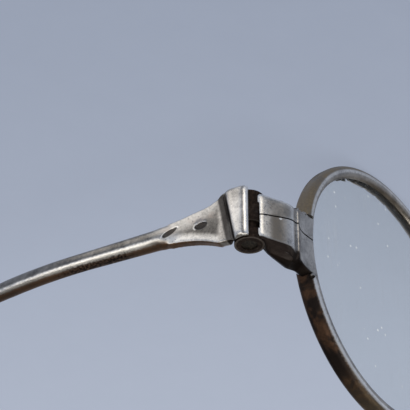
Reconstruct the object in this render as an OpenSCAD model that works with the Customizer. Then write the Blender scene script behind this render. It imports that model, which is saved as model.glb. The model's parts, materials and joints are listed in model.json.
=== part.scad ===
// Antique wire-rim side-arm spectacles in silver, worn upright: the front faces -Y, the arms run
// towards +Y and +X is the wearer's left. Each side is drawn once as the left one and mirrored.

/* [Lenses] */
// Diameter of the opening that each lens shows through
lens_opening = 30.8; // [28:0.1:36]
// Distance between the two lens centres
lens_spacing = 60; // [56:0.5:72]
// Thickness of the glass at the middle of the lens
lens_centre_thickness = 2; // [1.4:0.1:3]
// Thickness of the glass where the bevel of its edge starts
lens_edge_thickness = 1.1; // [0.8:0.1:1.3]
// How far the bevelled edge of the glass reaches into the rim
bevel_depth = 0.5; // [0.3:0.05:0.6]
// Room left round the glass in its groove
glass_clearance = 0.04; // [0.02:0.01:0.1]

/* [Rims and bridge] */
// Thickness of the flattened wire of the rims, outwards from the lens
rim_thickness = 1.65; // [1.5:0.05:2]
// Depth of the same wire, front to back
rim_depth = 2.5; // [2.3:0.05:2.8]
// Width of the half-round bridge strip, front to back
bridge_width = 2.4; // [2:0.1:2.6]
// Thickness of the bridge strip
bridge_thickness = 1.5; // [1.1:0.1:2]
// How far the bridge ends are let into the rims
bridge_inset = 0.45; // [0.3:0.05:0.6]
// Gap that solder fills between two soldered pieces
solder_gap = 0.02; // [0.01:0.005:0.04]

/* [End pieces] */
// Distance from the lens opening to the hinge axis, outwards
hinge_reach = 7.9; // [7.6:0.1:9]
// How far the hinge axis lies behind the middle of the rim
hinge_setback = 2.36; // [2.3:0.02:2.5]
// How far the front ridge of the end piece stands before the middle of the rim
ridge_front = 2.2; // [2:0.05:2.4]
// Distance from the lens opening to the ridge, outwards
ridge_reach = 4.65; // [4.2:0.05:5]
// How far the hollow flat beside the ridge stands before the middle of the rim
flat_front = 1.1; // [1:0.05:1.2]
// How far the back of the end piece lies behind the middle of the rim
back_depth = 1.15; // [1.1:0.05:1.3]
// Height of the upper half at the ridge, above the slit
upper_ridge_height = 4.4; // [4:0.1:4.8]
// Width of the bevel along the upper back edge
back_bevel = 0.85; // [0.5:0.05:1]
// Height of the lower half at the ridge, below the slit
lower_ridge_height = 2.3; // [2:0.1:2.8]
// Height of the lower half where it meets the rim, below the slit
lower_rim_height = 3.3; // [3:0.1:3.6]
// Width of the slit between the two halves
slit = 0.14; // [0.08:0.02:0.3]

/* [Hinge] */
// Outer diameter of the knuckles
barrel_d = 3.5; // [3.3:0.1:3.8]
// Diameter of the hinge screw
screw_d = 1.9; // [1.6:0.1:2.1]
// Height of the hinge, which is also that of the end piece beside it
hinge_height = 6.5; // [6:0.1:7.5]
// Length of the lower knuckle, with its countersink
lower_knuckle_length = 1.6; // [1.5:0.1:1.8]
// Length of the upper knuckle
upper_knuckle_length = 1.4; // [1.2:0.1:1.7]
// Length of the narrow neck at the top of the arm knuckle
neck_length = 1; // [0.6:0.1:1.2]
// Diameter of that neck
neck_d = 2.7; // [2.5:0.1:3]
// Radial clearance between the screw and the arm knuckle
running_clearance = 0.04; // [0.02:0.01:0.08]
// Clearance between the end faces of the knuckles
knuckle_gap = 0.05; // [0.03:0.01:0.1]
// Clearance between the arm band and the knuckles that it turns round
band_clearance = 0.12; // [0.08:0.02:0.2]
// Diameter of the flush screw head
screw_head_d = 2.7; // [2.4:0.1:2.9]

/* [Arms] */
// Length of an arm from the hinge axis to the end of its ring
arm_length = 98; // [80:1:99]
// How far the arms lean outwards where they leave the hinge, in degrees
arm_lean = 11; // [9:0.5:13]
// How far they still lean outwards behind the bow, in degrees
rear_lean = 1; // [0:0.5:3]
// Radius of the bow between the two
bow_radius = 65; // [50:1:90]
// Length of the straight run between the hinge and the bow
straight_run = 20.6; // [18:0.2:26]
// Offset of the arm's middle line from the hinge axis
arm_offset = 1.4; // [1.3:0.05:1.5]
// Thickness of the flat plate behind the hinge
plate_thickness = 1.16; // [1:0.02:1.3]
// Diameter of the wire where the plate has run out
root_wire = 2.5; // [2.3:0.05:2.7]
// Diameter of the wire from the bow on
arm_wire = 2.16; // [1.9:0.02:2.3]
// Diameter of the wire where it meets the ring
end_wire = 1.9; // [1.7:0.05:2]
// Distance from the hinge axis at which the flare has run out
flare_end = 10.4; // [9.5:0.1:12]
// Radius of the flare's edges
flare_radius = 16.2; // [15:0.1:18]
// How far the raised band stands above the plate
band_rise = 0.55; // [0.4:0.05:0.7]
// Distance from the hinge axis to the front edge of the band
band_front = 0.84; // [0.7:0.02:0.9]
// Distance from the hinge axis to the rear edge of the band, at mid height
band_rear = 1.8; // [1.6:0.05:2]
// How far the rear edge of the band slants over its height
band_slant = 1.1; // [0.8:0.1:1.4]
// Depth of the two plain struck dents in the plate
dent_depth = 0.14; // [0.08:0.02:0.2]

/* [Temple rings] */
// Outer diameter of the ring that ends each arm
ring_d = 11; // [9:0.5:13]
// Diameter of its round eye
eye_d = 8; // [6:0.5:8]
// Thickness of the ring
ring_thickness = 1.4; // [1.2:0.1:1.8]
// Width of the bevels on the ring
ring_bevel = 0.3; // [0.2:0.05:0.35]

/* [Hidden] */
$fn = 128;
SILVER = [0.62, 0.61, 0.57];
DARK_SILVER = [0.36, 0.32, 0.27];
STEEL = [0.25, 0.23, 0.21];
GLASS = [0.72, 0.82, 0.85, 0.35];

// How far a cut overshoots the face it starts from, and a length that passes through any piece
eps = 0.01;
through = 40;

lens_r = lens_opening / 2;
rim_outer_r = lens_r + rim_thickness - 0.05;
rim_r = rim_outer_r - rim_thickness / 2;
barrel_r = barrel_d / 2;
half_height = hinge_height / 2;
hinge_x = lens_r + hinge_reach;
inside_rim = -bevel_depth - 1;

// Heights of the knuckle faces above the slit
lower_face = -half_height + lower_knuckle_length;
upper_face = half_height - upper_knuckle_length;

// The arm is drawn in a frame whose Y axis runs along its first straight run
plate_inner = arm_offset - plate_thickness / 2;
plate_outer = arm_offset + plate_thickness / 2;
// Half the height of the plate at its end, where its corners lie just inside the wire
plate_end_half = sqrt(pow(root_wire / 2, 2) - pow(plate_thickness / 2, 2)) - 0.04;
// The round wire swells out of the plate along a cone that starts hidden inside it
swell_length = 3.4;
swell_d = 0.9 * plate_thickness;
swell_angle = atan((root_wire - swell_d) / 2 / swell_length);
bow_angle = arm_lean - rear_lean;
rear_run = arm_length - straight_run - bow_radius * sin(bow_angle) - ring_d;
ring_r = ring_d / 2;

// How far the arm reaches back, measured straight along Y from the hinge axis
arm_reach = -arm_offset * sin(arm_lean) + straight_run * cos(arm_lean)
    + bow_radius * (sin(arm_lean) - sin(rear_lean)) + (rear_run + ring_r) * cos(rear_lean) + ring_r;

// The origin is under the middle of the spectacles, at the lowest point of the rims
lens_height = rim_outer_r;
middle_y = (hinge_setback + arm_reach - ridge_front) / 2;

function arc(centre, r, from, to, steps = 12) =
    [for (i = [0 : steps]) let (a = from + (to - from) * i / steps)
        [centre[0] + r * cos(a), centre[1] + r * sin(a)]];

// Places a piece drawn for the left side; side is 1 for the left and -1 for the right
module on_side(side) {
    translate([side * lens_spacing / 2, -middle_y, lens_height])
        mirror([side < 0 ? 1 : 0, 0, 0])
            children();
}

// Origin at the point of the lens opening that is nearest the hinge
module at_end_piece() {
    translate([lens_r, 0, 0]) children();
}

// Origin on the hinge axis, level with the slit
module at_hinge() {
    translate([hinge_x, hinge_setback, 0]) children();
}

// Along the arm as it leaves the hinge
module along_arm() {
    at_hinge() rotate([0, 0, -arm_lean]) children();
}

// Behind the bow: origin where the bow ends, with Y along the rear run
module behind_bow() {
    along_arm()
        translate([arm_offset - bow_radius, straight_run, 0])
            rotate([0, 0, bow_angle])
                translate([bow_radius, 0, 0]) children();
}

// Turned about the lens axis, from a profile of radius against depth
module round_lens_axis() {
    rotate([-90, 0, 0]) rotate_extrude() children();
}

module groove_profile(room) {
    half = lens_edge_thickness / 2 + room;
    polygon([
        [lens_r - 1, -half], [lens_r, -half],
        [lens_r + bevel_depth + room, 0],
        [lens_r, half], [lens_r - 1, half]]);
}

module glass_seat() {
    round_lens_axis() groove_profile(glass_clearance);
}

// Outline of both end piece halves seen from the front, as [out, up]
module end_piece_elevation() {
    polygon([
        [inside_rim, upper_ridge_height + 0.5],
        [1.2, upper_ridge_height + 0.4],
        [2.4, upper_ridge_height + 0.1],
        [ridge_reach, upper_ridge_height - 0.1],
        [hinge_reach, half_height],
        [hinge_reach + barrel_r, half_height],
        [hinge_reach + barrel_r, -half_height],
        [hinge_reach, -half_height],
        [ridge_reach + 0.9, -half_height + 0.45],
        [ridge_reach + 0.1, -lower_ridge_height - 0.15],
        [ridge_reach - 0.5, -lower_ridge_height],
        [ridge_reach - 1.1, -lower_ridge_height - 0.35],
        [1.6, -lower_rim_height + 0.1],
        [inside_rim, -lower_rim_height]]);
}

// Seen from above, as [out, back]: the outer face, the rounded ridge and the hollow front flat
module end_piece_plan() {
    ridge_round = 0.35;
    hollow_start = ridge_reach - 0.2;
    hollow_end = 1.7;
    hollow_depth = ridge_front - flat_front - 0.06;
    function hollow(t) = [hollow_start + (hollow_end - hollow_start) * t,
                          -flat_front - hollow_depth * pow(1 - t, 2)];
    polygon(concat(
        [[hinge_reach + 0.7, hinge_setback - 1.8], [hinge_reach + 0.25, hinge_setback - 2.3]],
        arc([ridge_reach, -ridge_front + ridge_round], ridge_round, -58, -125, 8),
        [for (i = [1 : 8]) hollow(i / 8)],
        [[inside_rim, -flat_front], [inside_rim, back_depth - 0.15], [2.6, back_depth],
         [hinge_reach - 2.3, hinge_setback - 0.6], [hinge_reach - 1.2, hinge_setback + 0.4]]));
}

// What the bevel takes off the upper back edge
module back_bevel_cut() {
    fall = 4.5;
    slant = 45;
    translate([ridge_reach, back_depth, upper_ridge_height - back_bevel])
        rotate([0, fall, 0])
            rotate([-slant, 0, 0])
                translate([-through / 2, -through / 2, 0]) cube(through);
}

// The end piece before it is split, with its seats for the glass and the knuckles
module end_piece_body() {
    difference() {
        at_end_piece()
            intersection() {
                linear_extrude(through, center = true) end_piece_plan();
                rotate([90, 0, 0]) linear_extrude(through, center = true) end_piece_elevation();
            }
        at_end_piece() back_bevel_cut();
        rotate([-90, 0, 0]) cylinder(r = lens_r, h = through, center = true);
        glass_seat();
        at_hinge() cylinder(r = barrel_r + solder_gap, h = through, center = true);
        at_hinge()
            translate([0, 0, lower_face])
                cylinder(r = barrel_r + band_clearance, h = upper_face - lower_face);
    }
}

module end_piece_upper() {
    color(SILVER)
        intersection() {
            end_piece_body();
            translate([0, -through / 2, slit / 2]) cube([through, through, through]);
        }
}

module end_piece_lower() {
    color(SILVER)
        intersection() {
            end_piece_body();
            translate([0, -through / 2, -through - slit / 2]) cube([through, through, through]);
        }
}

// Section of the rim wire as [radius, depth]: flattened, with round edges
module rim_section(room = 0) {
    edge_r = rim_thickness / 2;
    flat = rim_depth / 2 - edge_r;
    translate([rim_r - edge_r - room, -flat]) square([rim_thickness + 2 * room, 2 * flat]);
    for (edge = [-flat, flat])
        translate([rim_r, edge]) circle(r = edge_r + room);
}

// An open ring of flattened wire, grooved for the glass and closed by the end piece halves
module rim() {
    color(DARK_SILVER)
        difference() {
            round_lens_axis()
                difference() {
                    rim_section();
                    translate([0, -rim_depth]) square([lens_r, 2 * rim_depth]);
                    groove_profile(glass_clearance);
                }
            at_end_piece()
                difference() {
                    rotate([90, 0, 0]) linear_extrude(through, center = true) butt_outline();
                    translate([0, solder_gap, solder_gap]) back_bevel_cut();
                }
        }
}

// The end piece outline with the solder gap above and below, where the wire ends butt on it
module butt_outline() {
    for (lift = [-solder_gap, solder_gap])
        translate([0, lift]) end_piece_elevation();
}

// Clear glass, slightly domed on both faces, with a bevelled edge
module lens() {
    sag = (lens_centre_thickness - lens_edge_thickness) / 2;
    dome_r = (lens_r * lens_r + sag * sag) / (2 * sag);
    dome_angle = asin(lens_r / dome_r);
    color(GLASS)
        round_lens_axis()
            polygon(concat(
                [[0, -lens_centre_thickness / 2]],
                [for (i = [1 : 12]) let (a = dome_angle * i / 12)
                    [dome_r * sin(a), dome_r * (1 - cos(a)) - lens_centre_thickness / 2]],
                [[lens_r + bevel_depth, 0]],
                [for (i = [12 : -1 : 1]) let (a = dome_angle * i / 12)
                    [dome_r * sin(a), lens_centre_thickness / 2 - dome_r * (1 - cos(a))]],
                [[0, lens_centre_thickness / 2]]));
}

// A half-round strip arched over the nose, let into the rims at both ends
module bridge() {
    arch_r = lens_spacing / 2 - rim_outer_r + bridge_inset;
    foot_angle = 14;
    color(SILVER)
        translate([0, -middle_y, lens_height])
            difference() {
                rotate([90, 0, 0])
                    rotate([0, 0, -foot_angle])
                        rotate_extrude(angle = 180 + 2 * foot_angle)
                            translate([arch_r - bridge_thickness, 0])
                                intersection() {
                                    translate([0, -bridge_width / 2])
                                        square([bridge_thickness, bridge_width]);
                                    translate([bridge_thickness - bridge_width * 0.6, 0])
                                        circle(r = bridge_width * 0.6);
                                }
                for (side = [-1, 1])
                    translate([side * lens_spacing / 2, 0, 0])
                        round_lens_axis() rim_section(solder_gap);
            }
}

// A plain tube of the hinge, between two heights above the slit
module knuckle_tube(bottom, top, bore_d) {
    translate([0, 0, bottom])
        difference() {
            cylinder(d = barrel_d, h = top - bottom);
            translate([0, 0, -eps]) cylinder(d = bore_d, h = top - bottom + 2 * eps);
        }
}

module upper_knuckle() {
    color(DARK_SILVER)
        at_hinge() knuckle_tube(upper_face, half_height, screw_d + solder_gap);
}

// The lower knuckle is countersunk from below for the screw head
module lower_knuckle() {
    sink = (screw_head_d - screw_d) / 2;
    color(DARK_SILVER)
        at_hinge()
            difference() {
                knuckle_tube(-half_height, lower_face, screw_d + solder_gap);
                translate([0, 0, -half_height - eps])
                    cylinder(d1 = screw_head_d + solder_gap + 2 * eps, d2 = screw_d + solder_gap,
                             h = sink + eps);
            }
}

// The arm knuckle turns on the screw and carries a narrower neck under the upper knuckle
module arm_knuckle() {
    neck_foot = upper_face - knuckle_gap - neck_length;
    bore_d = screw_d + 2 * running_clearance;
    color(DARK_SILVER)
        at_hinge()
            difference() {
                union() {
                    translate([0, 0, lower_face + knuckle_gap])
                        cylinder(d = barrel_d, h = neck_foot - lower_face - knuckle_gap);
                    translate([0, 0, neck_foot]) cylinder(d = neck_d, h = neck_length);
                }
                cylinder(d = bore_d, h = through, center = true);
            }
}

// A flush screw put in from below: slotted countersunk head, plain end level with the upper knuckle
module hinge_screw() {
    sink = (screw_head_d - screw_d) / 2;
    slot_width = 0.4;
    slot_depth = 0.3;
    end_recess = 0.12;
    color(STEEL)
        at_hinge()
            translate([0, 0, -half_height])
                difference() {
                    union() {
                        cylinder(d1 = screw_head_d, d2 = screw_d, h = sink);
                        cylinder(d = screw_d, h = hinge_height - end_recess);
                    }
                    translate([-screw_head_d, -slot_width / 2, -eps])
                        cube([2 * screw_head_d, slot_width, slot_depth + eps]);
                }
}

// The flare seen from the side, as [back, up]: full hinge height at the band, wire at its end
module flare_elevation() {
    foot_angle = acos(1 - (half_height - plate_end_half) / flare_radius);
    upper = arc([flare_end, plate_end_half + flare_radius], flare_radius, -90 - foot_angle, -90, 16);
    lower = arc([flare_end, -plate_end_half - flare_radius], flare_radius, 90, 90 + foot_angle, 16);
    polygon(concat([[0, half_height]], upper, lower, [[0, -half_height]]));
}

// The flat plate, as high as the hinge at the band
module plate() {
    intersection() {
        translate([plate_inner, 0, -half_height]) cube([plate_thickness, flare_end, hinge_height]);
        on_plate_side() linear_extrude(through, center = true) flare_elevation();
    }
}

// A round bar along the arm's first run, between two distances from the hinge axis
module tapered_bar(from, to, d_from, d_to) {
    translate([arm_offset, from, 0]) rotate([-90, 0, 0]) cylinder(d1 = d_from, d2 = d_to, h = to - from);
}

// The raised band seen from above: crowned outside, hollow round the knuckles inside
module band_plan() {
    crown = plate_outer + band_rise;
    polygon([
        [plate_inner - 0.5, -band_front],
        [crown - 0.34, -band_front],
        [crown - 0.12, -band_front + 0.16],
        [crown, -band_front + 0.75],
        [crown, band_rear - 0.9 + band_slant],
        [crown - 0.16, band_rear + band_slant],
        [plate_inner, band_rear + band_slant]]);
}

// The band seen from the side, as [back, up], with its slanting rear edge
module band_elevation() {
    polygon([
        [-band_front, -half_height],
        [band_rear + band_slant / 2, -half_height],
        [band_rear - band_slant / 2, half_height],
        [-band_front, half_height]]);
}

module on_plate_side() {
    rotate([90, 0, 90]) children();
}

// Two plain struck dents on the outer face: an oval on the plate and a lozenge on the root of the wire
module dents() {
    oval_at = 5.2;
    oval_low = -0.2;
    oval_arc = 1.1;
    oval_narrowing = 0.7;
    translate([plate_outer - dent_depth, oval_at, oval_low])
        rotate([0, 90, 0])
            intersection_for(shift = [-1, 1])
                translate([shift * oval_narrowing, 0, 0]) cylinder(r = oval_arc, h = root_wire);
    lozenge_at = 9.1;
    lozenge_r = 1;
    crown = arm_offset + root_wire / 2 - (flare_end - lozenge_at) * tan(swell_angle);
    translate([crown - dent_depth, lozenge_at, 0])
        rotate([0, 0, -swell_angle]) rotate([0, 90, 0]) cylinder(r = lozenge_r, h = root_wire, $fn = 4);
}

// The straight wire behind the bow, let a little way into the bow's end and into the ring
module rear_wire() {
    overlap = 0.3;
    ledge = 0.02;
    translate([0, -overlap, 0])
        rotate([-90, 0, 0])
            cylinder(d1 = arm_wire - 2 * ledge, d2 = end_wire, h = rear_run + 2 * overlap + ring_bevel);
}

// One forging: band, flared plate and tapering wire, bowed outwards and run straight back
module arm() {
    color(SILVER)
        difference() {
            union() {
                along_arm() {
                    intersection() {
                        linear_extrude(hinge_height, center = true) band_plan();
                        on_plate_side() linear_extrude(through, center = true) band_elevation();
                    }
                    plate();
                    tapered_bar(flare_end - swell_length, flare_end, swell_d, root_wire);
                    tapered_bar(flare_end, straight_run, root_wire, arm_wire);
                    translate([arm_offset - bow_radius, straight_run, 0])
                        rotate_extrude(angle = bow_angle)
                            translate([bow_radius, 0]) circle(d = arm_wire);
                }
                behind_bow() rear_wire();
            }
            along_arm() dents();
            at_hinge() cylinder(r = barrel_r + band_clearance, h = through, center = true);
            behind_bow() ring_space();
        }
}

// What the ring takes from the end of the arm
module ring_space() {
    translate([0, rear_run + ring_r, 0])
        rotate([0, 90, 0]) cylinder(r = ring_r + solder_gap, h = through, center = true);
}

// A flat bevelled ring in the plane of the arm, with a round eye for a cord or ribbon
module temple_ring() {
    half = ring_thickness / 2;
    eye_r = eye_d / 2;
    color(SILVER)
        behind_bow()
            translate([0, rear_run + ring_r, 0])
                rotate([0, 90, 0])
                    rotate_extrude()
                        polygon([
                            [eye_r, -half], [ring_r - ring_bevel, -half], [ring_r, -half + ring_bevel],
                            [ring_r, half - ring_bevel], [ring_r - ring_bevel, half], [eye_r, half]]);
}

bridge();
on_side(1) rim();  // left_rim
on_side(-1) rim();  // right_rim
on_side(1) lens();  // left_lens
on_side(-1) lens();  // right_lens
on_side(1) end_piece_upper();  // left_end_piece_upper
on_side(-1) end_piece_upper();  // right_end_piece_upper
on_side(1) end_piece_lower();  // left_end_piece_lower
on_side(-1) end_piece_lower();  // right_end_piece_lower
on_side(1) upper_knuckle();  // left_upper_knuckle
on_side(-1) upper_knuckle();  // right_upper_knuckle
on_side(1) lower_knuckle();  // left_lower_knuckle
on_side(-1) lower_knuckle();  // right_lower_knuckle
on_side(1) arm_knuckle();  // left_arm_knuckle
on_side(-1) arm_knuckle();  // right_arm_knuckle
on_side(1) hinge_screw();  // left_hinge_screw
on_side(-1) hinge_screw();  // right_hinge_screw
on_side(1) arm();  // left_arm
on_side(-1) arm();  // right_arm
on_side(1) temple_ring();  // left_temple_ring
on_side(-1) temple_ring();  // right_temple_ring
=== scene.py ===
# %% [markdown]
# A pair of old silver spectacles, seen close up at one hinge. The CAD model gives every piece its
# place. This lesson loads it, paints the silver, the tarnish and the glass with nodes, gives the
# forged pieces their soft hand-filed edges, and sets up the camera, the floor and the lamps.

import json
import math

import bpy
from mathutils import Matrix, Vector

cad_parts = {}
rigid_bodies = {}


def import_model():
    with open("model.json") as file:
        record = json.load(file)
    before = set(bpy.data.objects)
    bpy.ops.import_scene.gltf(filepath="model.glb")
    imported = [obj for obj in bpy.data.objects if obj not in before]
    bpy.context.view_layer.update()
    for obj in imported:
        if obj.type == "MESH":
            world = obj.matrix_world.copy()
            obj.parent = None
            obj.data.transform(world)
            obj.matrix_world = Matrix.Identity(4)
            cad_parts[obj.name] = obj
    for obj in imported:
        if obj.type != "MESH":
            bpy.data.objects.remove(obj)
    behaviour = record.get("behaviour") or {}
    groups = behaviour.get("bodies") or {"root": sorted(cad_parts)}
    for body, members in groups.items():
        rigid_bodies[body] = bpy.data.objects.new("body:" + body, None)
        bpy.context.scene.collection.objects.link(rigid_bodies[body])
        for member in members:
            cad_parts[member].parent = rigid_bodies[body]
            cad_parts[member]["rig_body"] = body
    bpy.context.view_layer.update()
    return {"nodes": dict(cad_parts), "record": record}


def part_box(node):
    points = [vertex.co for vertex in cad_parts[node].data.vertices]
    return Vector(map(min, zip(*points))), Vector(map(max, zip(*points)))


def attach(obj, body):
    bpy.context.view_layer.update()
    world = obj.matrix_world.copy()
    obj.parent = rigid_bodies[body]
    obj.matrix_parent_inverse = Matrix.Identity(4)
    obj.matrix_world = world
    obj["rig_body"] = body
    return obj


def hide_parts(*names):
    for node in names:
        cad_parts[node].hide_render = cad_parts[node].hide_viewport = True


MM = 0.001
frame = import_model()
nodes = frame["nodes"]

# %% [markdown]
# The masks and the filed shapes both need to know where they are. The hinge axis comes from the
# joint in the record, and the middle of the lens from its box. All places are in millimetres on the
# left side, and x is counted outward from the middle, so the right side is its mirror image. An end
# piece's outer face is upright and looks forward and outward, and it passes in front of the hinge
# axis. The four functions below take plain numbers as well as shader fields.

# %% Places on the spectacles
HINGE_X, HINGE_Y, MIDDLE_Z = [
    value / MM for value in frame["record"]["behaviour"]["joints"][0]["pos_m"]]
LENS_X, LENS_Y = [(low + high) / 2 / MM for low, high in zip(*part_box("left_lens"))][:2]
ARM_LEAN = math.radians(11)
FACE_Y = -48.8
FACE_START = 0.75
OUTWARD_FROM_ARM = Vector((math.cos(ARM_LEAN), -math.sin(ARM_LEAN)))
OUTWARD_FROM_FACE = Vector((0.56, -0.83))


def along_arm(x, y):
    """Behind the hinge axis, along the arm."""
    return (x - HINGE_X) * math.sin(ARM_LEAN) + (y - HINGE_Y) * math.cos(ARM_LEAN)


def across_arm(x, y):
    """Outward from the hinge axis, at right angles to the arm."""
    return (x - HINGE_X) * OUTWARD_FROM_ARM.x + (y - HINGE_Y) * OUTWARD_FROM_ARM.y


def along_face(x, y):
    """Along the end piece's outer face, from its hinge edge to the rim."""
    return (x - HINGE_X) * OUTWARD_FROM_FACE.y - (y - FACE_Y) * OUTWARD_FROM_FACE.x + FACE_START


def behind_face(x, y):
    """Inward from the end piece's outer face."""
    return (x - HINGE_X) * -OUTWARD_FROM_FACE.x + (y - FACE_Y) * -OUTWARD_FROM_FACE.y


print("hinge axis", round(HINGE_X, 2), round(HINGE_Y, 2), "lens", round(LENS_X, 2), round(LENS_Y, 2))

# %% [markdown]
# Shader maths reads best as plain arithmetic. A Field wraps one output socket, and each operator
# adds the Math node that does it, so a mask is written as a sum or a product of simple steps.

# %% Fields
class Field:
    """A number, colour or vector that changes over a surface."""

    def __init__(self, finish, socket):
        self.finish = finish
        self.socket = socket

    def math(self, operation, *others):
        sockets = dict(enumerate((self, *others)))
        return self.finish.node("ShaderNodeMath", {"operation": operation}, sockets)

    def __add__(self, other):
        return self.math("ADD", other)

    def __mul__(self, other):
        return self.math("MULTIPLY", other)

    def __sub__(self, other):
        return self.math("SUBTRACT", other)

    def __rsub__(self, other):
        return self.finish.node("ShaderNodeMath", {"operation": "SUBTRACT"}, {0: other, 1: self})

    def __pow__(self, other):
        return self.math("POWER", other)

    __radd__ = __add__
    __rmul__ = __mul__

    def size(self):
        return self.math("ABSOLUTE")

    def clamped(self):
        return self.math("MAXIMUM", 0.0).math("MINIMUM", 1.0)

    def between(self, low, high):
        """0 below low, 1 above high and a soft step between; turned round where low is the larger."""
        return self.finish.node(
            "ShaderNodeMapRange", {"interpolation_type": "SMOOTHSTEP"},
            {"Value": self, "From Min": low, "From Max": high})


def length(first, second):
    """How long the arrow with these two sides is."""
    return (first * first + second * second).math("SQRT")


print("fields ready")

# %% [markdown]
# A Finish holds one material with its nodes and its shader. Everything is painted in Object
# coordinates, which are the real place on the spectacles, so a pit or a cloud of tarnish has its
# size in millimetres and stays where it is when an arm folds.

# %% Finishes
def rgb(red, green, blue):
    return (red, green, blue, 1.0)


class Finish:
    """One material, with its node tree and its shader."""

    def __init__(self, name):
        self.material = bpy.data.materials.new(name)
        self.material.use_nodes = True
        self.tree = self.material.node_tree
        self.shader = self.tree.nodes["Principled BSDF"]
        self.place = self.node("ShaderNodeTexCoord", output="Object")

    def node(self, kind, settings=None, sockets=None, output=0):
        made = self.tree.nodes.new(kind)
        for key, value in (settings or {}).items():
            setattr(made, key, value)
        for key, value in (sockets or {}).items():
            self.connect(value, made.inputs[key])
        return Field(self, made.outputs[output])

    def connect(self, value, socket):
        if isinstance(value, Field):
            self.tree.links.new(value.socket, socket)
        else:
            socket.default_value = value

    def set(self, **inputs):
        """Values or fields for the shader's own sockets, named with _ for a space."""
        for key, value in inputs.items():
            self.connect(value, self.shader.inputs[key.replace("_", " ")])

    def noise(self, size, detail=4, roughness=0.55, place=None, distortion=0):
        """Cloudy noise whose blotches are about so large."""
        return self.node(
            "ShaderNodeTexNoise", None,
            {"Vector": place or self.place, "Scale": 1 / size, "Detail": detail,
             "Roughness": roughness, "Distortion": distortion})

    def cells(self, size):
        """The distance to the nearest of many scattered points about so far apart."""
        return self.node("ShaderNodeTexVoronoi", None, {"Vector": self.place, "Scale": 1 / size})

    def stretched(self, sizes, turn=(0, 0, 0)):
        """Object coordinates scaled so that 1 is the given size along each axis."""
        return self.node(
            "ShaderNodeMapping", None,
            {"Vector": self.place, "Rotation": turn, "Scale": [1 / size for size in sizes]})

    def mix(self, mask, without, where):
        """One colour without the mask, another where it is."""
        made = self.tree.nodes.new("ShaderNodeMix")
        made.data_type = "RGBA"
        self.connect(mask, made.inputs["Factor"])
        self.connect(without, made.inputs["A"])
        self.connect(where, made.inputs["B"])
        return Field(self, made.outputs["Result"])

    def scale(self, colour, amount):
        """A colour made so many times as bright."""
        return self.node("ShaderNodeVectorMath", {"operation": "SCALE"}, {0: colour, "Scale": amount})

    def bump(self, height, depth):
        """A normal from a height between 0 and 1 that stands for so many metres."""
        return self.node("ShaderNodeBump", None, {"Height": height, "Distance": depth, "Strength": 1.0})

    def parts(self, vector):
        """The three numbers of a vector."""
        return [self.node("ShaderNodeSeparateXYZ", None, {0: vector}, output) for output in range(3)]

    def where(self):
        """The place in millimetres, with x counted outward from the middle on both sides."""
        x, y, z = self.parts(self.place)
        return x.size() * (1 / MM), y * (1 / MM), z * (1 / MM)

    def facing(self):
        """How far the surface looks outward, forward to the front and up, from -1 to 1 each."""
        side = self.parts(self.place)[0].math("SIGN")
        x, y, z = self.parts(self.node("ShaderNodeTexCoord", output="Normal"))
        return x * side, y * -1, z


print("finishes ready")

# %% [markdown]
# Old silver is bright only where it is handled. Sulphur in the air turns it brown and then black,
# first in hollows and pits, and fine scratches keep the polished places soft. One recipe serves all
# the silver pieces: noises of four sizes, and a coat that lays the masks of wear and painted
# highlight, brown film, and black with painted shade over each other. It also paints a dark outline
# as shade where a surface turns away from the view. Each piece then only has to say where it is
# worn or painted bright, brown, or black.

# %% The silver recipe
GREY = rgb(0.47, 0.44, 0.40)
PALE = rgb(0.68, 0.64, 0.58)
WORN_AND_HIGHLIGHT = rgb(0.95, 0.92, 0.86)
BROWN = rgb(0.20, 0.116, 0.068)
OLIVE = rgb(0.28, 0.215, 0.135)
DUN = rgb(0.15, 0.128, 0.098)
RUST = rgb(0.15, 0.08, 0.045)
BLACK = rgb(0.016, 0.011, 0.009)

CLOUD_SIZE = 2.4 * MM
GRAIN_SIZE = 0.3 * MM
FINE_SIZE = 0.09 * MM
PIT_SPACING = 0.36 * MM
SCRATCH_SIZES = (0.9 * MM, 0.05 * MM, 1.3 * MM)
SCRATCH_TURN = (0.3, 0.5, 0.2)
RELIEF = 0.045 * MM


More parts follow.
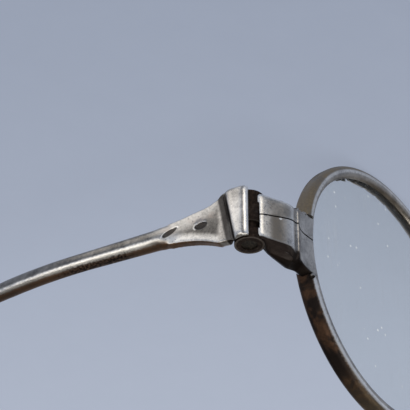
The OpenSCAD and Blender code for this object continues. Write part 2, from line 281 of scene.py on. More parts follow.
class Silver(Finish):
    """Old silver: grey metal, worn and painted bright places, brown film, black pits, painted shade and
    fine scratches.
    """

    def __init__(self, name):
        super().__init__(name)
        self.cloud = self.noise(CLOUD_SIZE, detail=5, distortion=0.6)
        self.grain = self.noise(GRAIN_SIZE, detail=5, roughness=0.65)
        self.fine = self.noise(FINE_SIZE, detail=3)
        along_scratches = self.stretched(SCRATCH_SIZES, SCRATCH_TURN)
        self.scratch = self.noise(1.0, detail=3, roughness=0.7, place=along_scratches)
        self.speck = self.cells(PIT_SPACING) + self.fine * 0.3

    def pits(self, amount):
        """Small round pits, more of them where the amount is larger."""
        return self.speck.between(0.42, 0.24) * (self.cloud + amount).between(0.75, 1.1)

    def coat(self, wear_and_highlight, brown, black, pits, gloss=0.24, tint=BROWN, dim=0.0, dents=0.0):
        """Lays the masks over each other and fills the shader in."""
        # Painted shade: a dark outline is added where the surface turns away from the view.
        silhouette_shade = self.node("ShaderNodeLayerWeight", None, {"Blend": 0.5}, "Facing")
        uneven = (self.grain - 0.5) * 1.5 + (self.fine - 0.5) * 0.9 + (self.cloud - 0.5) * 1.2
        wear_and_highlight = (wear_and_highlight + uneven * 0.35 * wear_and_highlight).clamped()
        brown = (brown + uneven * 0.8 * brown).clamped()
        black = (black + silhouette_shade.between(0.72, 1.0) * 0.75).clamped()
        colour = self.mix(self.cloud.between(0.3, 0.7), GREY, PALE)
        colour = self.scale(colour, 1 - dim)
        # WORN_AND_HIGHLIGHT is the colour of worn silver and also of painted highlights.
        colour = self.mix(wear_and_highlight, colour, WORN_AND_HIGHLIGHT)
        colour = self.mix(brown, colour, tint)
        colour = self.scale(colour, 1 + uneven * (0.85 - wear_and_highlight * 0.6))
        colour = self.mix(black.math("MAXIMUM", pits * 0.85), colour, BLACK)
        rough = gloss + brown * 0.12 + black * 0.2 + pits * 0.2 + self.scratch * 0.12 + uneven * 0.08
        height = self.grain * 0.6 + self.fine * 0.2 + self.scratch * 0.15 + self.cloud * 0.5 - pits * 0.8
        height = height - dents * 3
        self.set(Base_Color=colour, Metallic=1 - black * 0.12, Roughness=rough)
        self.set(Normal=self.bump(height, RELIEF))
        return self.material


print("silver recipe ready")

# %% [markdown]
# Each arm is forged from one rod. In front it is a raised band with a groove behind it, then a flat
# plate that flares towards the band, and then plain round wire. Fingers polish the band and a ridge
# along the wire, which also carry painted highlights, while the top of the wire is brown tarnish
# painted darker to black as shade. The class below first says how much band, plate and wire there
# is at a place. Painting by place and by the way that the surface looks needs no picture and no seams.

# %% The arm: where it is what
ARM_HALF = 1.07
FLARE_END = 10.4
FLARE_SCALE = 0.125
FLARE_BEND = 1.8
FLARE_RISE = 2.2
GROOVE_AT = 1.95
BAND_SLOPE = 0.17


class ArmSilver(Silver):
    """Silver with the arm's own places: band, groove, plate and wire."""

    def __init__(self):
        super().__init__("silver_arms")
        x, y, z = self.where()
        self.outward, self.forward, self.upward = self.facing()
        self.along = along_arm(x, y)
        self.height = z - MIDDLE_Z
        self.level = self.upward + (self.grain - 0.5) * 0.2
        self.wire = self.along.between(8.5, 13)
        self.plate = self.along.between(2.6, 3.2) * (1 - self.wire)
        self.band = self.along.between(2.0, 1.6)
        # A painted darker stripe on the band where it faces partly forward, standing for a reflection.
        self.blue = self.forward.between(0.3, 0.42) * self.forward.between(0.66, 0.58) * self.band
        # The top of the arm, painted brown to black below: tarnish and painted shade.
        self.top = self.level.between(0.72, 0.9)

    def groove(self):
        """The hollow line between the band and the plate."""
        from_groove = (self.along - GROOVE_AT + self.height * BAND_SLOPE).size()
        return from_groove.between(0.75, 0.4) * self.height.size().between(3.7, 3.2)

    def strips(self):
        """The plate's painted highlight along its upper edge and its paler painted sheen along its lower
        edge.
        """
        flare = ((FLARE_END - self.along) * FLARE_SCALE).math("MAXIMUM", 0.0)
        half_height = flare ** FLARE_BEND * FLARE_RISE + ARM_HALF
        upper = (self.height - half_height).between(-1.2, -0.3) * self.outward.between(0.7, 0.9)
        lower = (self.height + half_height).between(2.2, 0.2) * self.outward.between(0.3, 0.6)
        return upper * self.plate, lower * self.plate


print("arm places ready")

# %% [markdown]
# Two small dents are struck into the outside of the plate, one like a leaf and one oval. They are
# left bare inside. Each is a round distance that is 1 at its edge: below 1 the metal is dark, and
# just outside it one side of the edge has a painted highlight.

# %% The arm: the struck dents
LEAF_AT = 9.1
LEAF_SLOPE = 0.54
LEAF_LENGTH = 0.93
LEAF_WIDTH = 0.43
OVAL_AT = 5.2
OVAL_HEIGHT = 0.1
OVAL_LENGTH = 0.87
OVAL_WIDTH = 0.53


def struck_dents(arm):
    """The two dents, and a painted highlight on one side of the edge of each."""
    leaf_along = arm.along - LEAF_AT
    leaf_rise = arm.height - leaf_along * LEAF_SLOPE
    leaf = length(leaf_along * (1 / LEAF_LENGTH), leaf_rise * (1 / LEAF_WIDTH))
    oval_along = (arm.along - OVAL_AT) * (1 / OVAL_LENGTH)
    oval_rise = (arm.height - OVAL_HEIGHT) * (1 / OVAL_WIDTH)
    oval = length(oval_along, oval_rise)
    struck = leaf.math("MINIMUM", oval)
    outside = arm.outward.between(0.6, 0.8)
    dents = struck.between(1.0, 0.8) * outside
    # The lit sides and the ring make a painted highlight along one side of each dent's edge.
    leaf_lit_side = leaf_rise.between(0.15, -0.1) * leaf.between(1.4, 1.2)
    oval_lit_side = (oval_along - oval_rise).between(-0.3, 0.7) * oval.between(1.5, 1.3)
    ring = struck.between(0.8, 1.0) * struck.between(1.3, 1.08) * arm.fine.between(0.3, 0.55)
    return dents, ring * outside * (leaf_lit_side + oval_lit_side).clamped()


print("dents ready")

# %% [markdown]
# The arm's masks add up: a worn ridge on the wire with a painted highlight, a polished band with
# painted highlights and one painted darker stripe, brown tarnish with painted shade on top and in the
# groove, and a burnt black patch on the wire where it was soldered once.

# %% The arm: wear and tarnish
def arm_wear_and_highlights(arm, lit_strip, low_highlight_strip, dents, dent_highlight):
    # Wear along the wire's ridge, placed where a lamp reflects, so it is partly a painted highlight.
    ridge_wear_and_highlight = arm.level.between(0.2, 0.5) * arm.level.between(0.9, 0.7) * arm.outward.between(0.0, 0.3)
    # The band's polish, brighter towards its bottom: wear and a painted highlight.
    polish_and_highlight = (arm.band - arm.blue) * (arm.cloud * 0.3 + arm.height.between(-3.5, 2) * 0.4)
    wear_and_highlight = ridge_wear_and_highlight * arm.wire + polish_and_highlight + lit_strip * 0.6 + low_highlight_strip * 0.4
    wear_and_highlight = wear_and_highlight + arm.plate * arm.cloud.between(0.45, 0.7) * 0.15
    # A painted highlight on the band's front edge.
    wear_and_highlight = wear_and_highlight + arm.forward.between(0.6, 0.7) * arm.band * 0.6
    return (wear_and_highlight + dent_highlight * (0.5 + arm.grain * 0.6)) * (1 - dents)


def arm_brown_and_shade(arm, lit_strip):
    # Painted shade: the upward-facing side of the plate is painted brown.
    plate_top_shade = arm.upward.between(0.3, 0.7) * arm.plate
    inside = arm.outward.between(0.1, -0.5)
    clouds = arm.plate * arm.cloud.between(0.5, 0.75) * (1 - lit_strip)
    return arm.top * arm.wire * 0.85 + clouds * 0.4 + inside * 0.25 + plate_top_shade * 0.9


def arm_black_and_shade(arm, dents):
    top = arm.top * arm.wire
    burnt = arm.along.between(13, 16) * arm.along.between(26, 21) * arm.upward.between(0.55, 0.8)
    # The top of the wire is painted black as shade, over tarnish.
    black = top * arm.grain.between(0.52, 0.68) * 0.2 + top * arm.upward.between(0.75, 0.95) * 0.35
    black = black + burnt * arm.grain.between(0.45, 0.55) * 0.7
    # The groove's black is tarnish and painted shade; the dents are dark inside.
    black = black + arm.groove() * 0.85 + dents * (0.5 + arm.fine * 0.6)
    # Painted shade on the band where it faces up and where it faces backward.
    band = arm.upward.between(0.5, 0.8) * 0.4 + arm.forward.between(-0.3, -0.6) * 0.8
    return black + band * arm.band


def arm_silver():
    arm = ArmSilver()
    lit_strip, low_highlight_strip = arm.strips()
    dents, dent_highlight = struck_dents(arm)
    plate = arm.plate * (1 - lit_strip * 0.8) * (1 - low_highlight_strip * 0.6)
    return arm.coat(
        arm_wear_and_highlights(arm, lit_strip, low_highlight_strip, dents, dent_highlight),
        arm_brown_and_shade(arm, lit_strip),
        arm_black_and_shade(arm, dents),
        arm.pits(arm.plate * 0.3 + arm.wire * 0.12),
        dim=plate * 0.72 + arm.wire * 0.6 + arm.blue * 0.25,
        dents=dents)


print("arm finish ready")

# %% [markdown]
# The end pieces carry the hinge. Their outer face is a filed block with bright round edges, worn and
# partly a painted highlight, a middle painted darker as shade, a painted sheen on one side, and a nick
# in the slit between the two halves. Their top and the block's inward faces are painted nearly black
# as shade over brown tarnish. The bridge shares this finish, without the block's marks.

# %% The end pieces
BLOCK_HALF = 3.3
BLOCK_SLOPE = 0.19
NICK_X = 51.76
NICK_Z = 17.22


def front_silver():
    finish = Silver("silver_end_pieces")
    x, y, z = finish.where()
    outward, forward, upward = finish.facing()
    height = z - MIDDLE_Z
    reach = along_face(x, y)
    facing_out = outward * OUTWARD_FROM_FACE.x - forward * OUTWARD_FROM_FACE.y
    block = x.between(49.8, 50.6)
    low_half = height.between(0.1, -0.5)

    level = upward + (finish.grain - 0.5) * 0.12
    # Painted shade: the top, and the strip behind the outer face, are marked to be painted dark.
    behind = behind_face(x, y).between(0.35, 0.8) * height.between(2.2, 3.0) * upward.between(0.0, 0.2)
    top = level.between(0.2, 0.5).math("MAXIMUM", behind)

    edge = facing_out.between(1.02, 0.9) * facing_out.between(0.4, 0.75)
    low_edge = height + BLOCK_HALF - reach * BLOCK_SLOPE
    # The filed fillets on the left and lower edges: wear and a painted highlight.
    fillet_wear_and_highlight = reach.between(1.7, 0.3).math("MAXIMUM", low_edge.between(1.5, 0.3))
    fillet_wear_and_highlight = fillet_wear_and_highlight * facing_out.between(0.3, 0.7) * block
    nick = ((x - NICK_X).size() + (z - NICK_Z).size()).between(0.24, 0.14)
    # A painted sheen on one side of the upper half of the block's face.
    painted_sheen = (1 - low_half) * reach.between(2.4, 3.6) * block

    # Painted shade on the block's face, darkest in its middle.
    shade = reach.between(0.6, 2.2) * reach.between(4.6, 3.4) * (0.6 + finish.cloud * 0.8) * block
    middle = reach.between(0.8, 1.8) * reach.between(3.6, 2.2) * block
    brown = low_half * shade * 0.4 + (1 - low_half) * middle * 0.75 + top * 0.7 + shade * 0.1
    brown = brown * (1 - edge * 0.8) * (1 - nick) * (1 - fillet_wear_and_highlight * 0.8)
    # Painted shade: black on the top and on the block's inward faces toward the hinge gap.
    black = top * (0.85 + finish.cloud * 0.3) + outward.between(0.2, -0.3) * block * 0.5
    wear_and_highlight = edge * 0.6 * block + fillet_wear_and_highlight * 0.35 + nick + painted_sheen * 0.3
    return finish.coat(
        wear_and_highlight, brown, black, finish.pits(0.1), tint=finish.mix(top, DUN, BROWN), dim=0.25)


print("end piece finish ready")

# %% [markdown]
# The rims are flattened wire. Their front crest is worn and carries a painted highlight, the outer
# flank is olive below and rusty black above near the hinge, and the seat of the glass is dark. The
# mask needs to know which way is outward from the middle of the lens, which the surface normal gives
# when it is set against the direction from that middle.

# %% The rims
def rim_silver():
    finish = Silver("silver_rims")
    x, y, z = finish.where()
    outward, forward, upward = finish.facing()
    side = x - LENS_X
    height = z - MIDDLE_Z
    radial = (outward * side + upward * height).math("DIVIDE", length(side, height))
    level = radial + (finish.grain - 0.5) * 0.25
    upper = (height + finish.cloud * 3).between(0, 4)
    near_hinge = x.between(31, 41)
    turned = level - upper * 0.45
    flank = turned.between(0.14, 0.4)
    # The crest: wear and a painted highlight along it.
    crest_wear_and_highlight = turned.between(-0.36, -0.12) * turned.between(0.32, 0.1) * forward.between(0.1, 0.4)
    crest_wear_and_highlight = crest_wear_and_highlight * (0.6 + upper * 0.4)
    blotch = finish.cloud.between(0.45, 0.62)
    seat = level.between(-0.4, -0.8) * (y - LENS_Y).size().between(0.7, 0.4)
    inner = level.between(-0.3, -0.6)
    brown = flank * (0.75 + blotch * 0.25) + inner * 0.25 + 0.15
    brown = brown * (1 - crest_wear_and_highlight * 0.6)
    black = flank * upper * (1 - blotch * 0.4) * (0.3 + near_hinge * 0.7) + seat * 0.8
    tint = finish.mix(upper * near_hinge, OLIVE, RUST)
    return finish.coat(crest_wear_and_highlight, brown, black, finish.pits(0.05), tint=tint, dim=0.25)


print("rim finish ready")

# %% [markdown]
# The knuckles sit in the hinge's gap and are painted nearly black as its shade, over brown tarnish.
# Only the outer ring of their end, round the screw, is a little rubbed. The screw is dark old steel.

# %% The knuckles and the screws
def hinge_silver():
    finish = Silver("silver_knuckles")
    x, y, z = finish.where()
    upward = finish.facing()[2]
    ring = length(x - HINGE_X, y - HINGE_Y).between(1.4, 1.6) * upward.between(0.2, 0.6)
    brown = finish.cloud.between(0.1, 0.4) * (1 - ring * 0.5)
    # Painted shade: the knuckles are nearly black.
    black = (finish.grain.between(0.3, 0.6) * 0.2 + 0.78) * (1 - ring * 0.25)
    return finish.coat(ring * 0.1, brown, black, finish.pits(0.2), gloss=0.34)


OILY_STEEL = rgb(0.018, 0.015, 0.013)
BROWN_STEEL = rgb(0.07, 0.058, 0.042)


def dark_steel():
    finish = Finish("dark_screw_steel")
    grain = finish.noise(0.25 * MM, detail=4)
    finish.set(
        Base_Color=finish.mix(grain.between(0.35, 0.7), OILY_STEEL, BROWN_STEEL),
        Metallic=0.85,
        Roughness=0.4 + grain * 0.25,
        Normal=finish.bump(grain, 0.02 * MM))
    return finish.material


print("hinge finishes ready")

# %% [markdown]
# The lens is clear old glass with a faint cold tint. Glass of full strength would bend and darken
# what lies behind it more than this thin lens does, so its index is low. A thin film of haze and
# wiping marks is mixed in as a matt white layer, and specks of dust as small glowing spots, a painted
# glint.

# %% The glass
LENS_INDEX = 1.12
DUST_SPACING = 1.6 * MM
WIPE_SIZES = (0.7 * MM, 30 * MM, 9 * MM)


def lens_glass():
    finish = Finish("old_lens_glass")
    finish.set(
        Base_Color=rgb(0.945, 0.965, 0.955),
        Roughness=0.02,
        Transmission_Weight=1.0,
        IOR=LENS_INDEX)
    clear = Field(finish, finish.shader.outputs[0])
    wipes = finish.noise(1.0, detail=4, place=finish.stretched(WIPE_SIZES))
    haze = finish.noise(6 * MM, detail=3)
    film = finish.node("ShaderNodeBsdfDiffuse", None, {"Color": rgb(0.85, 0.87, 0.86)})
    share = wipes.between(0.5, 0.8) * haze.between(0.4, 0.65) * 0.09 + haze * 0.05
    hazy = finish.node("ShaderNodeMixShader", None, {0: share, 1: clear, 2: film})
    dust = finish.cells(DUST_SPACING).between(0.12, 0.06) * finish.noise(4 * MM).between(0.5, 0.58)
    # The dust specks glow a little: a painted glint.
    dust_glow = finish.node("ShaderNodeEmission", None, {"Color": rgb(0.72, 0.76, 0.76)})
    dusty = finish.node("ShaderNodeMixShader", None, {0: dust * 0.8, 1: hazy, 2: dust_glow})
    finish.connect(dusty, finish.tree.nodes["Material Output"].inputs["Surface"])
    return finish.material


print("glass ready")

# %% [markdown]
# The record gives every CAD piece the name of a slot, which says what it is made of. Each piece
# takes the finish of its slot. Faces that meet at less than 30 degrees are shaded as one curve.

# %% Dress the CAD pieces
SLOT_FINISH = {
    "silver_front": front_silver(),
    "silver_rim": rim_silver(),
    "silver_hinge": hinge_silver(),
    "silver_arm": arm_silver(),
    "screw_steel": dark_steel(),
    "lens_glass": lens_glass(),
}
SLOTS = {part["node"]: part["material_slot"] for part in frame["record"]["subparts"]}


def dress(piece, slot):
    piece.data.materials.clear()
    piece.data.materials.append(SLOT_FINISH[slot])


def only_select(piece):
    bpy.ops.object.select_all(action="DESELECT")
    piece.select_set(True)
    bpy.context.view_layer.objects.active = piece


for name, piece in nodes.items():
    dress(piece, SLOTS[name])
    only_select(piece)
    bpy.ops.object.shade_smooth_by_angle(angle=math.radians(30))
print("dressed", len(SLOTS), "pieces in", len(SLOT_FINISH), "finishes")

# %% [markdown]
# A smith files every corner round, and the CAD pieces have sharp ones. A bevel can't follow such
# mixed edges, so a copy of each forged piece is laid on a fine grid of voxels and then relaxed:
# corners give way and flat faces stay. Where more is filed away, a short function of the place
# moves the surface. These are the tools for it.

# %% Tools for filing
def copy_of(names, name):
    """One new mesh object with closed copies of CAD pieces."""
    bpy.ops.object.select_all(action="DESELECT")
    for source in names:
        piece = bpy.data.objects.new(name, nodes[source].data.copy())
        bpy.context.scene.collection.objects.link(piece)
        piece.select_set(True)
        bpy.context.view_layer.objects.active = piece
    bpy.ops.object.join()
    piece = bpy.context.object
    only_select(piece)
    bpy.ops.object.mode_set(mode="EDIT")
    bpy.ops.mesh.select_all(action="SELECT")
    bpy.ops.mesh.remove_doubles(threshold=0.001 * MM)
    bpy.ops.mesh.normals_make_consistent(inside=False)
    bpy.ops.object.mode_set(mode="OBJECT")
    return piece


def apply(piece, kind, **settings):
    """Adds a modifier, sets it and applies it."""
    only_select(piece)
    modifier = piece.modifiers.new(kind.lower(), kind)
    for key, value in settings.items():
        setattr(modifier, key, value)
    bpy.ops.object.modifier_apply(modifier=modifier.name)


def on_grid(piece, voxel):
    apply(piece, "REMESH", mode="VOXEL", voxel_size=voxel)


def relax(piece, rounds, group=""):
    apply(piece, "SMOOTH", factor=0.5, iterations=rounds, vertex_group=group)


def swell(piece, distance):
    """Moves the surface out along its normals."""
    apply(piece, "DISPLACE", strength=distance, mid_level=0.0)


def in_mm(vertex):
    """Outward, backward and up from the middle height, in millimetres."""
    return abs(vertex.co.x) / MM, vertex.co.y / MM, vertex.co.z / MM - MIDDLE_Z


def weigh(piece, group_name, weight_at):
    """A vertex group whose weight is a function of the place."""
    group = piece.vertex_groups.new(name=group_name)
    for vertex in piece.data.vertices:
        weight = weight_at(*in_mm(vertex))
        if weight > 0:
            group.add([vertex.index], min(weight, 1.0), "REPLACE")


def finish_piece(piece, replaced):
    slot = SLOTS[replaced]
    only_select(piece)
    bpy.ops.object.shade_smooth_by_angle(angle=math.radians(50))
    dress(piece, slot)
    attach(piece, nodes[replaced]["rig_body"])
    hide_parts(replaced)
    print(piece.name, len(piece.data.polygons), "faces")


print("filing tools ready")

# %% [markdown]
# The functions that file a surface share three measures: a straight ramp from 0 to 1, the drop of a
# round edge below the flat, and a push in plan that is mirrored on the right side.

# %% Measures for filing
def ramp(value, low, high):
    return min(max((value - low) / (high - low), 0.0), 1.0)


def drop(inset, radius):
    """How far a round edge of this radius lies below the flat, this far in from the edge."""
    short = max(radius - max(inset, 0.0), 0.0)
    return radius - math.sqrt(radius * radius - short * short)


def push_in(vertex, outward, distance):
    """Moves a vertex in plan against this outward direction."""
    mirrored = Vector((math.copysign(outward.x, vertex.co.x), outward.y, 0))
    vertex.co -= mirrored * (distance * MM)


print("a 1 mm edge drops", round(drop(0.2, 1.0), 2), "mm at 0.2 mm from its rim")

# %% [markdown]
# On the arm, the band's outer face falls off round towards its four edges, and its lower end runs
# out a little further. Relaxing eats from the edges of the thin plate, so the plate is made a little
# wider first. The band is relaxed more than the rest, and so is the place where the plate runs out
# into the wire.

# %% File the arms
ARM_VOXEL = 0.1 * MM
BAND_FACE = 2.55
BAND_REAR = 1.8
BAND_FRONT = -0.9
BAND_HALF = 3.3
BAND_FLOOR = 1.7
GROOVE_FLOOR = 1.98
BAND_END = 2.9
BAND_INNER = 1.0
BAND_TAIL = 0.35
PLATE_SPARE = 0.36
PLATE_TOP_SPARE = 0.34


def crown_band(piece):
    for vertex in piece.data.vertices:
        x, y, height = in_mm(vertex)
        along = along_arm(x, y)
        across = across_arm(x, y)
        if along > BAND_END or across < BAND_INNER:
            continue
        rear_edge = BAND_REAR - BAND_SLOPE * height
        fall = drop(rear_edge - along, radius=1.25) + drop(along - BAND_FRONT, radius=0.8)
        fall += drop(BAND_HALF - abs(height), radius=0.5)
        floor = BAND_FLOOR if along < rear_edge else GROOVE_FLOOR
        excess = across - max(BAND_FACE - fall, floor)
        if excess > 0:
            push_in(vertex, OUTWARD_FROM_ARM, excess)
        vertex.co.z -= BAND_TAIL * MM * ramp(-height, 2.2, 3.2)


def widen_plate(piece):
    for vertex in piece.data.vertices:
        x, y, height = in_mm(vertex)
        along = along_arm(x, y)
        before_wire = ramp(along, 10.8, 9.2)
        spare = PLATE_SPARE * ramp(along, 4, 6.5) * before_wire
        if height > 0:
            spare = max(spare, PLATE_TOP_SPARE * ramp(along, 2.4, 3.0) * before_wire)
        vertex.co.z += math.copysign(spare * ramp(abs(height), 0.2, 0.9) * MM, height)


def band_weight(x, y, height):
    return ramp(along_arm(x, y), 2.8, 2.2)


def run_out_weight(x, y, height):
    along = along_arm(x, y)
    return ramp(along, 7.0, 9.0) * ramp(along, 17, 14) * ramp(abs(height), 1.05, 0.6)


def soft_arm(side):
    name = side + "_arm"
    piece = copy_of([name], name + "_filed")
    on_grid(piece, ARM_VOXEL)
    crown_band(piece)
    widen_plate(piece)
    weigh(piece, "band", band_weight)
    weigh(piece, "run_out", run_out_weight)
    relax(piece, rounds=20)
    relax(piece, rounds=20, group="band")
    relax(piece, rounds=110, group="run_out")
    finish_piece(piece, name)


for side in ("left", "right"):
    soft_arm(side)

# %% [markdown]
# The two halves of an end piece were filed while they were screwed together, so their outer faces
# run on across the slit. Both halves are therefore rounded as one lump, and each half is then cut
# out of that lump with a Boolean, which keeps the slit narrow and sharp. Afterwards the top behind
# the outer face is filled out a little, as a smith leaves it.

# %% File the end pieces
LUMP_SPARE = 0.09 * MM
LUMP_BACK = 0.1 * MM
LUMP_VOXEL = 0.06 * MM
HALF_VOXEL = 0.045 * MM
HALF_BACK = 0.02 * MM
FACE_LENGTH = 4.5
FACE_DEPTH = 1.4
FACE_TOP_SLOPE = 0.21
FACE_FALL = 1.2
TOP_RISE = 0.6


def round_block(lump):
    """Lets the outer face of the end piece fall off round towards its edges."""
    for vertex in lump.data.vertices:
        x, y, height = in_mm(vertex)
        depth = behind_face(x, y)
        reach = along_face(x, y)
        if reach > FACE_LENGTH + 0.4 or depth > FACE_DEPTH:
            continue
        low = -BLOCK_HALF + BLOCK_SLOPE * reach
        top = BLOCK_HALF + FACE_TOP_SLOPE * reach
        fall = drop(reach + 0.35, radius=0.8) + 0.4 * drop(FACE_LENGTH - reach, radius=1.5)
        fall += drop(height - low, radius=0.8) + drop(top - height, radius=0.6)
        excess = min(fall, FACE_FALL) - depth
        if excess > 0:
            push_in(vertex, OUTWARD_FROM_FACE, excess)


def raise_top(piece):
    """Fills out the top of the end piece behind its outer face, between the hinge and the rim."""
    for vertex in piece.data.vertices:
        x, y, height = in_mm(vertex)
        reach = along_face(x, y)
        rise = TOP_RISE * ramp(height, 1.5, 3.2) * ramp(behind_face(x, y), 0.3, 1.3)
        vertex.co.z += rise * ramp(reach, -0.2, 1.6) * ramp(reach, 5.6, 4.2) * MM


def soft_end_pieces(side):
    names = [side + "_end_piece_upper", side + "_end_piece_lower"]
    lump = copy_of(names, side + "_lump")
    swell(lump, LUMP_SPARE)
    on_grid(lump, LUMP_VOXEL)
    round_block(lump)
    relax(lump, rounds=90)
    swell(lump, -LUMP_BACK)
    for name in names:
        piece = copy_of([name], name + "_filed")
        on_grid(piece, HALF_VOXEL)
        swell(piece, -HALF_BACK)
        apply(piece, "BOOLEAN", operation="INTERSECT", solver="MANIFOLD", object=lump)
        raise_top(piece)
        finish_piece(piece, name)
    bpy.data.objects.remove(lump)


for side in ("left", "right"):
    soft_end_pieces(side)

# %% [markdown]
# The lens keeps its CAD form. Its faces run together at the middle into slivers too thin to shade,
# which would show as a dark speck, so a copy has its closest corners merged.

# %% Polish the lenses
SLIVER = 0.12 * MM


def smooth_lens(side):
    name = side + "_lens"
    piece = copy_of([name], name + "_polished")
    only_select(piece)
    bpy.ops.object.mode_set(mode="EDIT")
    bpy.ops.mesh.select_all(action="SELECT")
    bpy.ops.mesh.remove_doubles(threshold=SLIVER)
    bpy.ops.object.mode_set(mode="OBJECT")
    finish_piece(piece, name)


for side in ("left", "right"):
    smooth_lens(side)

# %% [markdown]
# Silver solder freezes in small drops where it runs out of a joint. Two lie on each side, where the
# halves of the end piece meet the rim. They are under a millimetre high, so a ball that is
# flattened, turned and dented in edit mode and then subdivided once is form enough.

# %% Drops of solder
def solder_lump(name, place, size, turn):
    """A small frozen drop at a place in millimetres, with its three half sizes."""
    bpy.ops.object.select_all(action="DESELECT")
    bpy.ops.mesh.primitive_uv_sphere_add(segments=28, ring_count=16, radius=1, location=(0, 0, 0))
    piece = bpy.context.object
    piece.name = name
    bpy.ops.object.mode_set(mode="EDIT")
    bpy.ops.mesh.select_all(action="SELECT")
    bpy.ops.transform.resize(value=[half * MM for half in size])
    bpy.ops.transform.rotate(value=turn, orient_axis="Y", center_override=(0, 0, 0))
    bpy.ops.transform.translate(value=[distance * MM for distance in place])
    bpy.ops.transform.vertex_random(offset=0.03 * MM, seed=3)
    bpy.ops.object.mode_set(mode="OBJECT")
    apply(piece, "SUBSURF", levels=1, render_levels=1)
    bpy.ops.object.shade_smooth()
    dress(piece, "silver_front")
    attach(piece, "front_frame")
    print(name, "at", place)


for side, sign in (("left", 1), ("right", -1)):
    solder_lump(side + "_upper_solder", (sign * 45.9, -49.75, 22.0), (0.5, 0.3, 0.34), sign * 0.7)
    solder_lump(side + "_lower_solder", (sign * 46.9, -49.6, 14.0), (0.4, 0.25, 0.3), sign * -0.5)

# %% [markdown]
# The photograph looks at the left hinge from above its outer side, and it is turned nearly upside
# down. The camera stands 260 mm from a point at the edge of the left lens. Its lens is long enough
# to show so many pixels for each millimetre there, and it is swung until that point falls on its
# own pixel.

# %% The camera
AZIMUTH = math.radians(55.83)
ELEVATION = math.radians(33)
ROLL = math.radians(-2.51)
DISTANCE = 260 * MM
IMAGE_SIZE = 410
PIXELS_PER_MM = 8.5
AIM = Vector((40, HINGE_Y - 2, MIDDLE_Z)) * MM
AIM_PIXEL = (331.3, 265.3)
SENSOR = 36


def make_camera():
    focal = PIXELS_PER_MM * DISTANCE / MM
    back = Vector((math.sin(AZIMUTH) * math.cos(ELEVATION),
                   -math.cos(AZIMUTH) * math.cos(ELEVATION), math.sin(ELEVATION)))
    right = Vector((math.cos(AZIMUTH), math.sin(AZIMUTH), 0))
    up = back.cross(right)
    turned_right = -right * math.cos(ROLL) - up * math.sin(ROLL)
    turned_up = right * math.sin(ROLL) - up * math.cos(ROLL)
    axes = Matrix((turned_right, turned_up, back)).transposed()
    middle = IMAGE_SIZE / 2
    towards = Vector((AIM_PIXEL[0] - middle, middle - AIM_PIXEL[1], -focal)).normalized()
    swing = towards.rotation_difference(Vector((0, 0, -1))).to_matrix()
    data = bpy.data.cameras.new("hinge_camera")
    data.sensor_width = SENSOR
    data.lens = SENSOR * focal / IMAGE_SIZE
    data.clip_start = 10 * MM
    data.clip_end = 20
    camera = bpy.data.objects.new("hinge_camera", data)
    bpy.context.scene.collection.objects.link(camera)
    camera.matrix_world = Matrix.Translation(AIM + back * DISTANCE) @ (axes @ swing).to_4x4()
    return camera


camera = make_camera()
bpy.context.scene.camera = camera
print("lens", round(camera.data.lens), "mm")

# %% [markdown]
# The floor is a plain pale blue-grey board, a little darker towards the camera. What the camera, the
# metal and the glass see of it is mostly an even glow of that colour, and the rest is plain paint
# that takes the soft shadow. Above the floor they see a backdrop of the same colour that falls off
# into the dark of the room, as a lit backdrop does.

# %% The floor and the world
NEAR_BOARD = rgb(0.315, 0.357, 0.453)
FAR_BOARD = rgb(0.435, 0.482, 0.588)
CEILING = rgb(0.09, 0.083, 0.078)
ROOM_LIGHT = rgb(0.42, 0.42, 0.42)
PAINTED_SHARE = 0.2
AWAY = Vector((-0.827, 0.562))


def seen_directly(finish):
    """1 for what the camera, a reflection or a look through glass meets, 0 for diffuse light."""
    path = finish.tree.nodes.new("ShaderNodeLightPath")
    kinds = ("Is Camera Ray", "Is Glossy Ray", "Is Transmission Ray")
    camera_ray, glossy_ray, through_ray = [Field(finish, path.outputs[kind]) for kind in kinds]
    return (camera_ray + glossy_ray + through_ray).math("MINIMUM", 1.0)


def make_floor():
    bpy.ops.object.select_all(action="DESELECT")
    bpy.ops.mesh.primitive_plane_add(size=6, location=(0, 0, 0))
    floor = bpy.context.object
    floor.name = "floor"
    finish = Finish("pale_board")
    x, y = finish.parts(finish.place)[:2]
    away = (y * AWAY.y + x * AWAY.x).between(-0.115, 0.02)
    mottle = finish.noise(5 * MM, detail=3, roughness=0.6) - 0.5
    colour = finish.mix(away + mottle * 0.12, NEAR_BOARD, FAR_BOARD)
    finish.set(Base_Color=colour, Roughness=0.9, Specular_IOR_Level=0.0)
    paint = Field(finish, finish.shader.outputs[0])
    glow = finish.node("ShaderNodeEmission", None, {"Color": colour})
    glowing = seen_directly(finish) * (1 - PAINTED_SHARE)
    blend = finish.node("ShaderNodeMixShader", None, {0: glowing, 1: paint, 2: glow})
    finish.connect(blend, finish.tree.nodes["Material Output"].inputs["Surface"])
    floor.data.materials.append(finish.material)


class Sky(Finish):
    """The world, with the same node helpers as a material."""

    def __init__(self, name):
        self.world = bpy.data.worlds.new(name)
        self.world.use_nodes = True
        self.tree = self.world.node_tree
        self.place = self.node("ShaderNodeTexCoord", output="Generated")


def make_world():
    sky = Sky("studio")
    height = sky.parts(sky.place)[2]
    backdrop = sky.mix(height.between(0.1, 0.45), FAR_BOARD, CEILING)
    colour = sky.mix(seen_directly(sky), ROOM_LIGHT, backdrop)
    sky.connect(colour, sky.tree.nodes["Background"].inputs["Color"])
    bpy.context.scene.world = sky.world


make_floor()
make_world()
print("floor and backdrop")

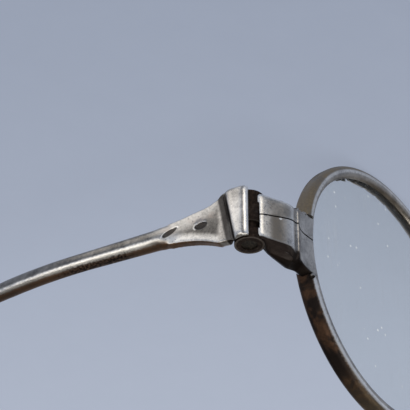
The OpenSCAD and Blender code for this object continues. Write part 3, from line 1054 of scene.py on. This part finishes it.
# %% [markdown]
# Metal shows its lamps. One large soft lamp hangs above. On each side a softbox stands back, and two
# low cards lie beside the arm: they face up, so they leave no mark on the floor, and the metal shows
# them as long soft lines. A lamp's power is worked out from how bright its surface is to look.

# %% The lamps
WARM_CARD = (1, 0.93, 0.82)
WARM_BOX = (1, 0.96, 0.89)
WHITE = (1, 1, 1)
CARD_HEIGHT = 2 * MM
OBJECT_MIDDLE = (0, -0.03, 0.017)


def lamp(name, place, target, size, power, colour):
    data = bpy.data.lights.new(name, "AREA")
    data.shape = "RECTANGLE"
    data.size, data.size_y = size
    data.energy = power
    data.color = colour
    light = bpy.data.objects.new(name, data)
    bpy.context.scene.collection.objects.link(light)
    aim = (Vector(target) - Vector(place)).to_track_quat("-Z", "Y")
    light.matrix_world = Matrix.Translation(place) @ aim.to_matrix().to_4x4()
    light.visible_camera = False
    light.visible_transmission = False


def power_of(radiance, size):
    """The power of a lamp of this size whose surface is so bright."""
    return radiance * math.pi * size[0] * size[1]


def card(name, corner, opposite, radiance):
    """A soft card that lies just above the floor between two corners and faces up."""
    size = (abs(opposite[0] - corner[0]), abs(opposite[1] - corner[1]))
    place = ((corner[0] + opposite[0]) / 2, (corner[1] + opposite[1]) / 2, CARD_HEIGHT)
    # A direction straight up would leave open which way the card's sides run
    above = (place[0], place[1] + 1e-6, 1)
    lamp(name, place, above, size, power_of(radiance, size), WARM_CARD)


def softbox(name, place, size, radiance):
    """A large soft lamp that looks at the object."""
    lamp(name, place, OBJECT_MIDDLE, size, power_of(radiance, size), WARM_BOX)


lamp("top_lamp", (0.5, -0.5, 1.1), (0, 0, 0), (0.9, 0.9), 9, WHITE)
for side, sign in (("left", 1), ("right", -1)):
    card(side + "_band_card", (sign * 0.062, -0.045), (sign * 0.092, -0.018), 0.75)
    card(side + "_front_card", (sign * 0.062, -0.082), (sign * 0.082, -0.057), 1.6)
    softbox(side + "_softbox", (sign * 1.0, 0.15, 0.36), (0.5, 0.4), 1.9)

# %% [markdown]
# The Standard view shows colours as they are written.

# %% Finish
bpy.context.scene.view_settings.view_transform = "Standard"
